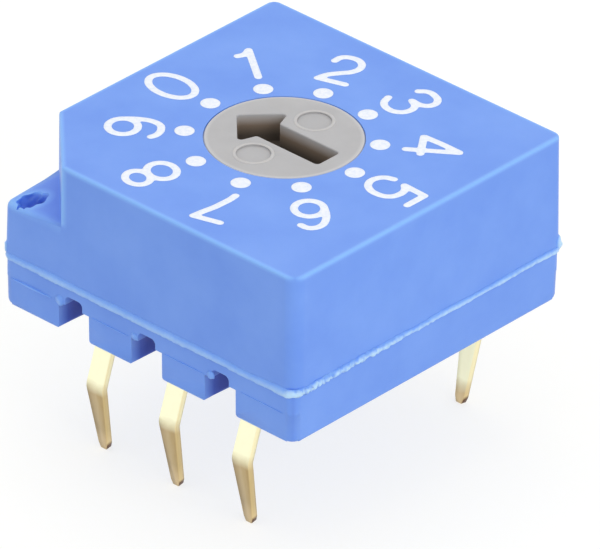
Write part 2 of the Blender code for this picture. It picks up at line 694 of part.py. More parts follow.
def build_terminal(name, material, side, place, weight):
    """One stamped strip: tapered leg, kink, bend into the base, and the finger that wipes on the disc."""
    x = place * PIN_PITCH
    touch = contact_point(side, place, weight)
    z_crest = Z_CONTACT - STRIP_THICKNESS / 2
    root = Vector((x, side * FINGER_ROOT, Z_STRIP))
    crest = Vector((touch.x, touch.y, z_crest))
    run = Vector((crest.x - root.x, crest.y - root.y, 0)).normalized()
    end = crest + run * FINGER_CREST_LENGTH - Vector((0, 0, FINGER_END_DROP))
    splay = REAR_SPLAY if side > 0 else 0.0
    tip = Vector((x, side * (TIP_OUT + splay), 0))
    kink = Vector((x, side * (LEG_KINK_OUT + splay), Z_BASE - LEG_KINK_DROP))
    lean = abs((kink - tip).normalized().y)
    tip.z = lean * STRIP_THICKNESS / 2
    point_start = tip + (kink - tip).normalized() * LEG_POINT_LENGTH
    corners = (
        (kink, LEG_BEND_RADIUS, LEG_WIDTH),
        (Vector((x, side * LEG_ROOT_OUT, Z_BASE + LEG_ROOT_RISE)), LEG_BEND_RADIUS, LEG_WIDTH),
        (Vector((x, side * LEG_ROOT_OUT, Z_STRIP)), STRIP_BEND_RADIUS, LEG_WIDTH),
        (root, LEG_BEND_RADIUS, LEG_WIDTH),
        (crest, FINGER_BEND_RADIUS, FINGER_TIP_WIDTH),
    )
    path = [tip, point_start]
    widths = [LEG_POINT_WIDTH, LEG_END_WIDTH]
    neighbours = [point_start] + [corner for corner, _, _ in corners] + [end]
    for i, (corner, radius, width) in enumerate(corners):
        arc = rounded_corner(neighbours[i], corner, neighbours[i + 2], radius, CORNER_STEPS)
        path += arc
        widths += [width] * len(arc)
    path.append(end)
    widths.append(FINGER_TIP_WIDTH)
    across = [Vector((width, 0, 0)) for width in widths]
    return add_sheet(name, strip(path, across), material, (x, side * TIP_OUT, Z_BASE), STRIP_THICKNESS)


def main():
    clear_scene()
    blue = make_material("blue_moulding", (0.22, 0.39, 0.89), 0.45)
    grey = make_material("grey_moulding", (0.50, 0.48, 0.45), 0.5)
    gold = make_material("gold_plating", (0.90, 0.76, 0.42), 0.28, 1.0)
    steel = make_material("spring_steel", (0.60, 0.61, 0.63), 0.3, 1.0)
    rubber = make_material("seal_rubber", (0.03, 0.03, 0.03), 0.7)

    build_cover(blue)
    build_base(blue)

    axis = bpy.data.objects.new("rotor_axis", None)
    axis.location = (0, 0, Z_FLANGE_TOP)
    bpy.context.scene.collection.objects.link(axis)
    build_rotor(grey, axis)
    build_seal(rubber, axis)
    build_code_disc(gold, axis)

    build_detent_spring("detent_spring_left", steel, -1)
    build_detent_spring("detent_spring_right", steel, 1)
    for name, side, place, weight in TERMINALS:
        build_terminal(name, gold, side, place, weight)


main()
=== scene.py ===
import math

import bmesh
import bpy
from mathutils import Matrix, Vector, noise


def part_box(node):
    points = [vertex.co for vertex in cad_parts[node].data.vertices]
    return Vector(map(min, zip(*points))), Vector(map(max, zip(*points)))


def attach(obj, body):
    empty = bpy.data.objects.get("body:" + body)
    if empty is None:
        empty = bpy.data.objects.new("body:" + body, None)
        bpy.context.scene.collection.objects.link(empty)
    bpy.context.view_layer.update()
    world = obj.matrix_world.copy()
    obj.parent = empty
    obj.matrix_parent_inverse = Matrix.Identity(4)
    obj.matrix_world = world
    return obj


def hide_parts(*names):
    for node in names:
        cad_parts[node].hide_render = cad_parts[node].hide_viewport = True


# Rotary dip switch: a blue moulded housing welded from two shells, a grey driver-slot rotor,
# white printed dial and six gold-plated terminals. Everything is in metres, in the part's frame.

mm = 0.001
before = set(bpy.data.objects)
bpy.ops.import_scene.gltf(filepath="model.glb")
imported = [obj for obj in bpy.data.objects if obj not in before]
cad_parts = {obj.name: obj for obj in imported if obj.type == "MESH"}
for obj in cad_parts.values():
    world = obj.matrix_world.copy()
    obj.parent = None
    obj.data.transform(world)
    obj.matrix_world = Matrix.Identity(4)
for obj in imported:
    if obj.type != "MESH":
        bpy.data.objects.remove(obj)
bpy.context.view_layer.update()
coverLow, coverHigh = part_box("cover")
baseLow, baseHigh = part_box("base")
halfFoot = coverHigh.x
topZ = coverHigh.z
seamZ = coverLow.z
footZ = baseLow.z
touching = 0.0001 * mm    # points nearer than this count as one
print("frame loaded:", len(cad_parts), "nodes")


# small tools

def hexColour(code, alpha=1.0):
    # sRGB hex to the linear colour that a shader takes
    channels = [int(code[i:i + 2], 16) / 255 for i in (1, 3, 5)]
    linear = [c / 12.92 if c <= 0.04045 else ((c + 0.055) / 1.055) ** 2.4 for c in channels]
    return (*linear, alpha)


def addNode(tree, kind, inputs=None, **settings):
    # one node with its settings; an input is a value or another node's output
    made = tree.nodes.new(kind)
    for name, value in settings.items():
        setattr(made, name, value)
    for socket, value in (inputs or {}).items():
        if isinstance(value, bpy.types.NodeSocket):
            tree.links.new(value, made.inputs[socket])
        else:
            made.inputs[socket].default_value = value
    return made


def reckon(tree, operation, *values, clamp=False):
    inputs = dict(enumerate(values))
    return addNode(tree, "ShaderNodeMath", inputs, operation=operation, use_clamp=clamp).outputs[0]


def ramp(tree, value, start, end, low=0.0, high=1.0):
    # low at the start, high at the end, held beyond them
    return addNode(tree, "ShaderNodeMapRange", {
        "Value": value, "From Min": start, "From Max": end, "To Min": low, "To Max": high,
    }).outputs["Result"]


def blend(tree, share, first, second):
    return addNode(tree, "ShaderNodeMix", {0: share, 6: first, 7: second}, data_type="RGBA").outputs[2]


def distanceOut(tree, x, y):
    flat = addNode(tree, "ShaderNodeCombineXYZ", {"X": x, "Y": y}).outputs[0]
    return addNode(tree, "ShaderNodeVectorMath", {0: flat}, operation="LENGTH").outputs["Value"]


def newMaterial(name):
    material = bpy.data.materials.new(name)
    material.use_nodes = True
    material.node_tree.nodes.clear()
    return material, material.node_tree


def closeMaterial(material, shader):
    tree = material.node_tree
    addNode(tree, "ShaderNodeOutputMaterial", {"Surface": shader.outputs[0]})
    return material


def pieceFrom(bm, name):
    bmesh.ops.recalc_face_normals(bm, faces=bm.faces)
    mesh = bpy.data.meshes.new(name)
    bm.to_mesh(mesh)
    bm.free()
    piece = bpy.data.objects.new(name, mesh)
    bpy.context.scene.collection.objects.link(piece)
    return piece


def bakeModifiers(piece):
    bpy.context.view_layer.update()
    depsgraph = bpy.context.evaluated_depsgraph_get()
    finished = bpy.data.meshes.new_from_object(piece.evaluated_get(depsgraph))
    piece.modifiers.clear()
    piece.data = finished


def cutAway(piece, cutterMeshes, operation="DIFFERENCE"):
    # takes the cutters' shapes out of the piece, or with INTERSECT all that is outside them
    for number, bm in enumerate(cutterMeshes):
        cutter = pieceFrom(bm, piece.name + "Cutter" + str(number))
        cut = piece.modifiers.new("cut", "BOOLEAN")
        cut.operation = operation
        cut.solver = "EXACT"
        cut.object = cutter
        bakeModifiers(piece)
        bpy.data.objects.remove(cutter)


def softShade(piece, angle=35):
    # rounded edges flow, flat faces stay flat
    piece.data.shade_smooth()
    piece.data.set_sharp_from_angle(angle=math.radians(angle))
    weighted = piece.modifiers.new("flat faces stay flat", "WEIGHTED_NORMAL")
    weighted.keep_sharp = True


def dress(piece, material, body, nodes=()):
    piece.data.materials.clear()
    piece.data.materials.append(material)
    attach(piece, body)
    if nodes:
        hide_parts(*nodes)


def joinFlatFaces(bm, angle=0.5):
    bmesh.ops.dissolve_limit(
        bm, angle_limit=math.radians(angle), use_dissolve_boundaries=False,
        verts=bm.verts, edges=bm.edges, delimit=set(),
    )


def copyOf(node, mergeDistance=0.0005 * mm):
    # the CAD node's shape as a clean bmesh: doubles merged, flat faces joined up
    bm = bmesh.new()
    bm.from_mesh(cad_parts[node].data)
    bmesh.ops.remove_doubles(bm, verts=bm.verts, dist=mergeDistance)
    joinFlatFaces(bm)
    return bm


def blockOf(width, height, middleZ):
    # a square block that stands upright on the switch's axis
    bm = bmesh.new()
    bmesh.ops.create_cube(bm, size=1.0)
    bmesh.ops.scale(bm, verts=bm.verts, vec=(width, width, height))
    bmesh.ops.translate(bm, verts=bm.verts, vec=(0, 0, middleZ))
    return bm


def uprightEdges(bm, height):
    return [e for e in bm.edges if abs(e.verts[0].co.z - e.verts[1].co.z) > height / 2]


def roundEdges(bm, edges, width, steps=3):
    return bmesh.ops.bevel(
        bm, geom=edges, offset=width, offset_type="OFFSET", segments=steps, profile=0.5,
        affect="EDGES", material=-1, clamp_overlap=True,
    )


# materials

def mouldedPlastic(name, looks, paintedHighlightMask=None, paintedShadeMask=None):
    # injection moulded polyester: satin, with a fine spark-eroded grain, small flecks, and faint
    # flow clouds where the melt cooled unevenly; the masks mark where a painted highlight makes
    # rounded rims paler and where painted shade darkens a recess
    material, tree = newMaterial(name)
    place = addNode(tree, "ShaderNodeTexCoord").outputs["Object"]
    clouds = addNode(tree, "ShaderNodeTexNoise", {
        "Vector": place, "Scale": 1 / (looks["cloud"] * mm), "Detail": 4.0, "Roughness": 0.55,
    })
    tint = addNode(tree, "ShaderNodeValToRGB", {"Fac": clouds.outputs["Fac"]})
    tint.color_ramp.elements[0].position = 0.3
    tint.color_ramp.elements[0].color = hexColour(looks["dark"])
    tint.color_ramp.elements[1].position = 0.7
    tint.color_ramp.elements[1].color = hexColour(looks["light"])
    flecks = addNode(tree, "ShaderNodeTexVoronoi", {"Vector": place, "Scale": 1 / (looks["speck"] * mm)})
    flecked = ramp(tree, flecks.outputs["Distance"], 0.0, 0.16, 0.35, 0.0)
    colour = blend(tree, flecked, tint.outputs["Color"], hexColour(looks["fleck"]))
    # painted highlight on the rims, then painted shade in the recesses
    if paintedHighlightMask:
        colour = blend(tree, paintedHighlightMask(tree, place), colour, hexColour(looks["rim"]))
    if paintedShadeMask:
        share = paintedShadeMask(tree, place)
        deeper = blend(tree, share, hexColour(looks["half shadow"]), hexColour(looks["shadow"]))
        colour = blend(tree, reckon(tree, "MULTIPLY", share, 2.0, clamp=True), colour, deeper)
    grain = addNode(tree, "ShaderNodeTexNoise", {
        "Vector": place, "Scale": 1 / (looks["grain"] * mm), "Detail": 3.0, "Roughness": 0.6,
    }).outputs["Fac"]
    bump = addNode(tree, "ShaderNodeBump", {
        "Height": grain, "Strength": looks["bump"], "Distance": looks["grainDepth"] * mm,
    })
    shader = addNode(tree, "ShaderNodeBsdfPrincipled", {
        "Base Color": colour,
        "Roughness": ramp(tree, grain, 0.3, 0.7, looks["roughness"] - 0.06, looks["roughness"] + 0.06),
        "Normal": bump.outputs["Normal"], "IOR": 1.5,
        "Subsurface Weight": looks["depth"], "Subsurface Radius": (0.4, 0.6, 1.0),
        "Subsurface Scale": looks["bleed"] * mm,
    })
    return closeMaterial(material, shader)


def fromAxes(tree, place):
    # x, y and z of the place, and how far out it is along x or y, whichever is more
    x, y, z = addNode(tree, "ShaderNodeSeparateXYZ", {"Vector": place}).outputs
    return x, y, z, reckon(tree, "MAXIMUM", reckon(tree, "ABSOLUTE", x), reckon(tree, "ABSOLUTE", y))


def chamferLine():
    # what x and y add up to along the chamfer of the marking corner
    return -2 * halfFoot + coverSizes["chamferLeg"] * mm


def beyondChamfer(tree, x, y):
    # 1 on the marking corner's side of the chamfer, 0 elsewhere
    line = chamferLine()
    return ramp(tree, reckon(tree, "ADD", x, y), line + 0.10 * mm, line + 0.04 * mm)


def paintedCoverRimHighlight(tree, place):
    # 1 along the rounded rims of the top face and of the marking corner, 0 elsewhere: where a painted
    # highlight makes them paler
    x, y, z, far = fromAxes(tree, place)
    halfTop = halfFoot - coverSizes["draft"] * mm
    ledgeZ = topZ - coverSizes["chamferDrop"] * mm
    width = coverSizes["rimHighlightWidth"] * mm
    chamferSum = (2 * halfTop - coverSizes["chamferLeg"] * mm) / math.sqrt(2)
    inFromChamfer = reckon(tree, "MULTIPLY_ADD", reckon(tree, "ADD", x, y), 1 / math.sqrt(2), chamferSum)
    nearSide = ramp(tree, far, halfTop - width, halfTop)
    nearTop = ramp(tree, z, topZ - width, topZ)
    nearChamfer = ramp(tree, reckon(tree, "ABSOLUTE", inFromChamfer), width, 0.0)
    fromLedge = reckon(tree, "ABSOLUTE", reckon(tree, "SUBTRACT", z, ledgeZ))
    fade, full = (share * mm for share in coverSizes["ledgeRimHeights"])
    inner, outer = (share * mm for share in coverSizes["ledgeRimDepths"])
    nearLedge = reckon(
        tree, "MULTIPLY", ramp(tree, fromLedge, fade, full),
        ramp(tree, far, halfTop - inner, halfTop - outer),
    )
    aboveLedge = ramp(tree, z, ledgeZ, ledgeZ + width)
    topRim = reckon(tree, "MULTIPLY", reckon(tree, "MAXIMUM", nearSide, nearChamfer), nearTop)
    cornerRim = reckon(tree, "MULTIPLY", reckon(tree, "MULTIPLY", nearSide, nearChamfer), aboveLedge)
    ledgeRim = reckon(
        tree, "MULTIPLY", reckon(tree, "MULTIPLY", nearLedge, beyondChamfer(tree, x, y)),
        ramp(tree, inFromChamfer, -4 * width, -8 * width, 0.25, 0.85),
    )
    rim = reckon(tree, "MAXIMUM", reckon(tree, "MAXIMUM", topRim, cornerRim), ledgeRim)

    # the torn plastic round the hollow gets the painted highlight too
    ring = distanceOut(tree, inHollows(tree, x, 0), inHollows(tree, y, 1))
    onLedge = ramp(tree, fromLedge, 0.06 * mm, 0.02 * mm)
    torn = reckon(tree, "MULTIPLY", ramp(tree, ring, *coverSizes["tornRing"]), onLedge)
    paler = reckon(tree, "MULTIPLY", rim, coverSizes["rimHighlightStrength"], clamp=True)
    return reckon(tree, "MAXIMUM", torn, paler, clamp=True)


def inHollows(tree, value, axis):
    # how far off the hollow's middle, in half sizes of the hollow
    place = coverSizes["hollowPlace"][axis]
    half = coverSizes["hollowSize"][axis]
    return reckon(tree, "MULTIPLY_ADD", value, 1 / (half * mm), -(place / half))


def paintedHollowShade(tree, place):
    # painted shade: the torn-off gate's hollow is painted dark below the ledge, and the ledge is
    # painted a little darker towards the chamfer, where the chamfer's wall shades it
    x, y, z, far = fromAxes(tree, place)
    ledgeZ = topZ - coverSizes["chamferDrop"] * mm
    inside = ramp(tree, far, halfFoot - 0.16 * mm, halfFoot - 0.26 * mm)
    below = ramp(tree, z, ledgeZ - 0.03 * mm, ledgeZ - 0.28 * mm, 0.0, coverSizes["hollowShade"])
    hollow = reckon(tree, "MULTIPLY", inside, below)
    fromLedge = reckon(tree, "ABSOLUTE", reckon(tree, "SUBTRACT", z, ledgeZ))
    onLedge = ramp(tree, fromLedge, 0.02 * mm, 0.01 * mm)
    line = chamferLine()
    start = line - coverSizes["ledgeShadeWidth"] * mm
    darker = ramp(tree, reckon(tree, "ADD", x, y), start, line, 0.0, coverSizes["ledgeShade"])
    corner = reckon(tree, "MULTIPLY", onLedge, darker)
    return reckon(tree, "MULTIPLY", reckon(tree, "MAXIMUM", hollow, corner), beyondChamfer(tree, x, y))


def paintedOpeningShade(tree, place):
    # painted shade: the openings at the terminals are painted darker behind the wall
    z, far = fromAxes(tree, place)[2:]
    behind = ramp(tree, far, halfFoot - 0.03 * mm, halfFoot - 0.60 * mm, 0.0, baseSizes["openingShade"])
    return reckon(tree, "MULTIPLY", behind, ramp(tree, z, footZ + 0.01 * mm, footZ + 0.06 * mm))


def paintedFlashHighlight(tree, place):
    # painted highlight: the flash is painted paler where it stands out from the wall and catches the
    # light, also round the corners, and most on the right side
    x, y = fromAxes(tree, place)[:2]
    radius = beadSizes["cornerRadius"] * mm
    beyond = []
    for side in (x, y):
        past = reckon(tree, "SUBTRACT", reckon(tree, "ABSOLUTE", side), halfFoot - radius)
        beyond.append(reckon(tree, "MAXIMUM", past, 0.0))
    crest = ramp(tree, distanceOut(tree, *beyond), radius + 0.03 * mm, radius + 0.09 * mm)
    rightSide = ramp(tree, x, halfFoot - 0.5 * mm, halfFoot - 0.1 * mm, 0.65, 1.0)
    return reckon(tree, "MULTIPLY", crest, rightSide)


def paintedRotorRimHighlight(tree, place):
    # painted highlight: the rim of the rotor's head is painted paler
    x, y = fromAxes(tree, place)[:2]
    radius = rotorSizes["headRadius"]
    return ramp(tree, distanceOut(tree, x, y), (radius - 0.12) * mm, (radius - 0.02) * mm, 0.0, 0.8)


def paintedSlotShade(tree, place):
    # painted shade: the driver slot is painted darker and brownish with depth
    z, far = fromAxes(tree, place)[2:]
    shade = ramp(tree, z, topZ - 0.04 * mm, topZ - rotorSizes["shadeDepth"] * mm, 0.0, 0.96)
    return reckon(tree, "MULTIPLY", shade, ramp(tree, far, 1.90 * mm, 1.80 * mm))


# the rim tints paint a highlight on rounded rims; the half shadow and shadow tints paint shade in recesses
blueLooks = {
    "dark": "#6a97ee", "light": "#75a1f3", "fleck": "#7fa9f5", "rim": "#86bafd",
    "half shadow": "#4f76da", "shadow": "#2f4dba",
    "cloud": 1.8, "speck": 0.09, "grain": 0.05, "grainDepth": 0.003,
    "roughness": 0.46, "bump": 0.30, "depth": 0.10, "bleed": 0.10,
}
flashLooks = {
    "dark": "#74a4f6", "light": "#7dadf9", "fleck": "#8fbcfc", "rim": "#bcdfff",
    "cloud": 0.5, "speck": 0.09, "grain": 0.05, "grainDepth": 0.004,
    "roughness": 0.42, "bump": 0.35, "depth": 0.20, "bleed": 0.10,
}
greyLooks = {
    "dark": "#b1b0b1", "light": "#b9b8b9", "fleck": "#c3c2c3", "rim": "#cdcccc",
    "half shadow": "#a8937f", "shadow": "#544c45",
    "cloud": 1.0, "speck": 0.12, "grain": 0.06, "grainDepth": 0.004,
    "roughness": 0.50, "bump": 0.30, "depth": 0.05, "bleed": 0.08,
}


def goldPlating(name, looks):
    # gold over nickel on stamped copper alloy, with the draw lines of the strip, duller sheared sides,
    # and bare alloy at the tips' sides; the rest is painted reflection: bright above the leg's bend,
    # deeper below it (in the rear row only near the tips) and a little brighter at the tips, with a
    # painted highlight down the middle of each face
    material, tree = newMaterial(name)
    spots = addNode(tree, "ShaderNodeTexCoord")
    place = spots.outputs["Object"]
    perLine = 1 / (looks["line"] * mm)
    drawn = addNode(tree, "ShaderNodeMapping", {
        "Vector": place, "Scale": (perLine, perLine, perLine * looks["stretch"]),
    })
    lines = addNode(tree, "ShaderNodeTexNoise", {
        "Vector": drawn.outputs["Vector"], "Scale": 1.0, "Detail": 1.0,
    }).outputs["Fac"]
    patches = addNode(tree, "ShaderNodeTexNoise", {
        "Vector": place, "Scale": 1 / (looks["patch"] * mm), "Detail": 2.0, "Roughness": 0.5,
    }).outputs["Fac"]
    x, y, z = fromAxes(tree, place)[:3]
    # painted highlight down the middle of each leg's face
    pitch = baseSizes["pitch"]
    rows = reckon(tree, "DIVIDE", x, pitch * mm)
    fromMiddle = reckon(tree, "ABSOLUTE", reckon(tree, "SUBTRACT", rows, reckon(tree, "ROUND", rows)))
    paintedMiddleHighlight = ramp(tree, fromMiddle, 0.2 / pitch, 0.03 / pitch, 0.0, looks["paintedMiddleHighlight"])
    sideways = addNode(tree, "ShaderNodeSeparateXYZ", {"Vector": spots.outputs["Normal"]}).outputs["X"]
    sheared = ramp(tree, reckon(tree, "ABSOLUTE", sideways), 0.35, 0.85)
    # painted reflection: bright above the bend, dim below it and a little brighter near the tips; the rear
    # row's bright part reaches further down
    bendZ = footZ - looks["bend"] * mm
    level = reckon(tree, "MULTIPLY_ADD", reckon(tree, "SUBTRACT", patches, 0.5), looks["uneven"] * mm, z)
    inRear = reckon(tree, "GREATER_THAN", y, 0.0)
    raised = reckon(tree, "MULTIPLY_ADD", inRear, looks["rearRaise"] * mm, level)
    bright = ramp(tree, raised, bendZ - 0.20 * mm, bendZ + 0.20 * mm)
    lowest = ramp(tree, level, looks["bareHeight"] * mm, 0.6 * looks["bareHeight"] * mm)
    nearTip = ramp(tree, level, looks["lowHeight"] * mm, 0.4 * looks["lowHeight"] * mm)
    below = blend(tree, nearTip, hexColour(looks["paintedDimReflection"]), hexColour(looks["low"]))
    colour = blend(tree, bright, below, hexColour(looks["paintedBrightReflection"]))
    colour = blend(tree, paintedMiddleHighlight, colour, hexColour(looks["crest"]))
    colour = blend(tree, ramp(tree, lines, 0.35, 0.65, 0.0, 0.06), colour, hexColour(looks["crest"]))
    colour = blend(tree, reckon(tree, "MULTIPLY", sheared, 0.4), colour, hexColour(looks["side"]))
    colour = blend(tree, reckon(tree, "MULTIPLY", sheared, lowest), colour, hexColour(looks["bare"]))
    bump = addNode(tree, "ShaderNodeBump", {
        "Height": lines, "Strength": 0.15, "Distance": looks["lineDepth"] * mm,
    })
    shader = addNode(tree, "ShaderNodeBsdfPrincipled", {
        "Base Color": colour, "Metallic": 1.0,
        "Roughness": ramp(tree, lines, 0.3, 0.7, looks["roughness"] - 0.04, looks["roughness"] + 0.06),
        "Normal": bump.outputs["Normal"],
    })
    return closeMaterial(material, shader)


# the first three tints paint the reflection: bright above the bend, dim below it and a little brighter near
# the tips; the crest tint paints the highlight down the middle and pales the draw lines
goldLooks = {
    "paintedBrightReflection": "#fffedb", "paintedDimReflection": "#b79e70", "low": "#d2b88b", "side": "#fbe3a4", "bare": "#6b4c38",
    "crest": "#fff8dc", "line": 0.08, "stretch": 0.05, "lineDepth": 0.002, "patch": 0.5,
    "uneven": 0.2, "bend": 1.86, "rearRaise": 1.45, "bareHeight": 0.25, "lowHeight": 0.70,
    "paintedMiddleHighlight": 0.12, "roughness": 0.36,
}


def twoTints(name, looks):
    # a plain surface whose tint and height wander a little between two close tints
    material, tree = newMaterial(name)
    place = addNode(tree, "ShaderNodeTexCoord").outputs["Object"]
    if "stretch" in looks:
        drawn = addNode(tree, "ShaderNodeMapping", {"Vector": place, "Scale": looks["stretch"]})
        place = drawn.outputs["Vector"]
    wander = addNode(tree, "ShaderNodeTexNoise", {
        "Vector": place, "Scale": looks["scale"], "Detail": looks["detail"], "Roughness": looks["fine"],
    }).outputs["Fac"]
    tint = addNode(tree, "ShaderNodeValToRGB", {"Fac": wander})
    tint.color_ramp.elements[0].position = looks["from"]
    tint.color_ramp.elements[0].color = hexColour(looks["dark"])
    tint.color_ramp.elements[1].position = looks["to"]
    tint.color_ramp.elements[1].color = hexColour(looks["light"])
    bump = addNode(tree, "ShaderNodeBump", {
        "Height": wander, "Strength": 0.2, "Distance": looks["height"] * mm,
    })
    shader = addNode(tree, "ShaderNodeBsdfPrincipled", {
        "Base Color": tint.outputs["Color"], "Metallic": looks["metallic"],
        "Roughness": looks["roughness"], "Normal": bump.outputs["Normal"], "IOR": 1.5,
    })
    return closeMaterial(material, shader)


# stainless spring strip with lines along the rolling direction
steelLooks = {
    "dark": "#a9abb0", "light": "#c8cace", "from": 0.0, "to": 1.0, "stretch": (30000, 1500, 30000),
    "scale": 1.0, "detail": 3.0, "fine": 0.5, "height": 0.002, "roughness": 0.3, "metallic": 1.0,
}
# nitrile rubber ring, near black and dull, with a slight bloom
rubberLooks = {
    "dark": "#1b1b1c", "light": "#2e2e30", "from": 0.0, "to": 1.0, "scale": 3000.0, "detail": 4.0,
    "fine": 0.5, "height": 0.004, "roughness": 0.62, "metallic": 0.0,
}
# opaque white film of ink, slightly thinner in places so that the blue cools it
inkLooks = {
    "dark": "#e3ebfa", "light": "#f4f7fd", "from": 0.3, "to": 0.6, "scale": 9000.0, "detail": 4.0,
    "fine": 0.6, "height": 0.003, "roughness": 0.42, "metallic": 0.0,
}
print("looks ready")


# cover

# the hollow is the torn-off gate in the ledge of the marking corner; lengths are in mm
coverSizes = {
    "draft": 0.05, "cornerRadius": 0.25, "nearCornerRadius": 0.38, "edgeRadius": 0.13,
    "ledgeRadius": 0.22, "chamferLeg": 1.975, "chamferDrop": 1.75,
    "wall": 0.80, "cavityCorner": 2.0, "boreRadius": 2.068, "roof": 0.77, "clearOfFlange": 0.43,
    "rimHighlightWidth": 0.14, "rimHighlightStrength": 1.25, "ledgeRimHeights": (0.26, 0.06),
    "ledgeRimDepths": (0.28, 0.05), "ledgeShade": 0.12, "ledgeShadeWidth": 0.9,
    "hollowPlace": (-4.46, -4.56), "hollowSize": (0.29, 0.47, 0.30), "hollowTurn": -6,
    "hollowRough": 0.30, "hollowShade": 0.5, "tornRing": (1.60, 1.05),
}


def gateHollow(sizes, ledgeZ):
    # an uneven egg that is taken out of the ledge
    bm = bmesh.new()
    bmesh.ops.create_icosphere(bm, subdivisions=4, radius=1.0)
    for vert in bm.verts:
        vert.co *= 1.0 + sizes["hollowRough"] * noise.noise(vert.co * 2.3 + Vector((5, 1, 2)))
    bmesh.ops.scale(bm, verts=bm.verts, vec=[s * mm for s in sizes["hollowSize"]])
    turn = Matrix.Rotation(math.radians(sizes["hollowTurn"]), 4, "Z")
    x, y = sizes["hollowPlace"]
    bm.transform(Matrix.Translation((x * mm, y * mm, ledgeZ)) @ turn)
    return bm


def makeCover(sizes):
    height = topZ - seamZ
    halfTop = halfFoot - sizes["draft"] * mm
    bm = blockOf(2 * halfTop, height, seamZ + height / 2)
    others = [e for e in uprightEdges(bm, height) if e.verts[0].co.x < 0 or e.verts[0].co.y > 0]
    roundEdges(bm, others, sizes["cornerRadius"] * mm, 8)
    near = [
        e for e in uprightEdges(bm, height)
        if e.verts[0].co.x > halfTop - touching and e.verts[0].co.y < touching - halfTop
    ]
    roundEdges(bm, near, sizes["nearCornerRadius"] * mm, 8)
    foot = [v for v in bm.verts if v.co.z < seamZ + height / 2]
    bmesh.ops.scale(bm, verts=foot, vec=(halfFoot / halfTop, halfFoot / halfTop, 1))

    # the marking corner: split along the ledge and the chamfer, then take that corner out
    ledgeZ = topZ - sizes["chamferDrop"] * mm
    across = Vector((-1, -1, 0)).normalized()
    onChamfer = Vector((-halfTop + sizes["chamferLeg"] * mm, -halfTop, 0))
    def pastChamfer(place):
        return (place - onChamfer).dot(across)

    for point, normal in ((Vector((0, 0, ledgeZ)), (0, 0, 1)), (onChamfer, across)):
        everything = bm.verts[:] + bm.edges[:] + bm.faces[:]
        bmesh.ops.bisect_plane(bm, geom=everything, dist=touching / 10, plane_co=point, plane_no=normal)
    gone = []
    for f in bm.faces:
        middle = f.calc_center_median()
        if middle.z > ledgeZ + touching and pastChamfer(middle) > touching:
            gone.append(f)
    bmesh.ops.delete(bm, geom=gone, context="FACES")
    rim = [e for e in bm.edges if e.is_boundary]
    ends = [
        v for v in bm.verts
        if v.is_boundary and abs(v.co.z - ledgeZ) < touching and abs(pastChamfer(v.co)) < touching
    ]
    rim.append(bm.edges.new(ends))
    bmesh.ops.edgenet_fill(bm, edges=rim)
    joinFlatFaces(bm)
    bmesh.ops.recalc_face_normals(bm, faces=bm.faces)

    def onTop(e):
        return all(v.co.z > topZ - touching for v in e.verts)

    def ledgeRim(e):
        onLedge = all(abs(v.co.z - ledgeZ) < touching for v in e.verts)
        return e.is_convex and onLedge and all(pastChamfer(v.co) > -10 * touching for v in e.verts)

    def chamferUpright(e):
        climbs = abs(e.verts[0].co.z - e.verts[1].co.z) > 1 * mm
        return climbs and all(abs(pastChamfer(v.co)) < 10 * touching for v in e.verts)

    roundEdges(bm, [e for e in bm.edges if ledgeRim(e)], sizes["ledgeRadius"] * mm, 5)
    sharp = [e for e in bm.edges if onTop(e) or chamferUpright(e)]
    roundEdges(bm, sharp, sizes["edgeRadius"] * mm, 5)
    cover = pieceFrom(bm, "coverShell")

    inside = 2 * (halfTop - sizes["wall"] * mm)
    ceilingZ = topZ - (sizes["roof"] + sizes["clearOfFlange"]) * mm
    depth = ceilingZ - seamZ + 1 * mm
    cavity = blockOf(inside, depth, ceilingZ - depth / 2)
    roundEdges(cavity, uprightEdges(cavity, depth), sizes["cavityCorner"] * mm, 8)

    bore = bmesh.new()
    radius = sizes["boreRadius"] * mm
    bmesh.ops.create_cone(
        bore, cap_ends=True, segments=128, radius1=radius, radius2=radius, depth=4 * mm,
    )
    bmesh.ops.translate(bore, verts=bore.verts, vec=(0, 0, topZ))
    cutAway(cover, [cavity, bore, gateHollow(sizes, ledgeZ)])
    return cover


cover = makeCover(coverSizes)
softShade(cover)
coverMoulding = mouldedPlastic("blueMouldedPolyesterCover", blueLooks, paintedCoverRimHighlight, paintedHollowShade)
dress(cover, coverMoulding, "housing", ["cover"])
print("cover made:", len(cover.data.polygons), "faces")


# base

# the terminals' openings stand a pitch apart; the envelope lies just outside the base's walls;
# lengths are in mm
baseSizes = {
    "pitch": 2.54, "halfOpening": 0.56, "openingTop": 1.13, "openingEdge": 0.07, "faceDepth": 0.06,
    "footEdge": 0.10, "draft": 0.03, "envelopeGap": 0.002, "envelopeCorner": 0.28,
    "blockCorner": 0.20, "openingShade": 0.85,
}


def footEnvelope(sizes):
    # a block just outside the base's walls, with the same draft and a rounded lower rim
    height = baseHigh.z - footZ + 1 * mm
    clear = sizes["envelopeGap"] * mm
    bm = blockOf(2 * halfFoot + 2 * clear, height, footZ - clear + height / 2)
    draft = sizes["draft"] * mm
    above = [v for v in bm.verts if v.co.z > footZ + height / 2]
    below = [v for v in bm.verts if v.co.z < footZ + height / 2]
    narrower = 1 - draft / halfFoot
    rise = height / (seamZ - footZ) - 1
    wider = 1 + rise * draft / halfFoot
    bmesh.ops.scale(bm, verts=below, vec=(narrower, narrower, 1))
    bmesh.ops.scale(bm, verts=above, vec=(wider, wider, 1))
    roundEdges(bm, uprightEdges(bm, height), sizes["envelopeCorner"] * mm, 8)
    rim = [e for e in bm.edges if all(v.co.z < footZ for v in e.verts)]
    roundEdges(bm, rim, sizes["footEdge"] * mm, 4)
    return bm


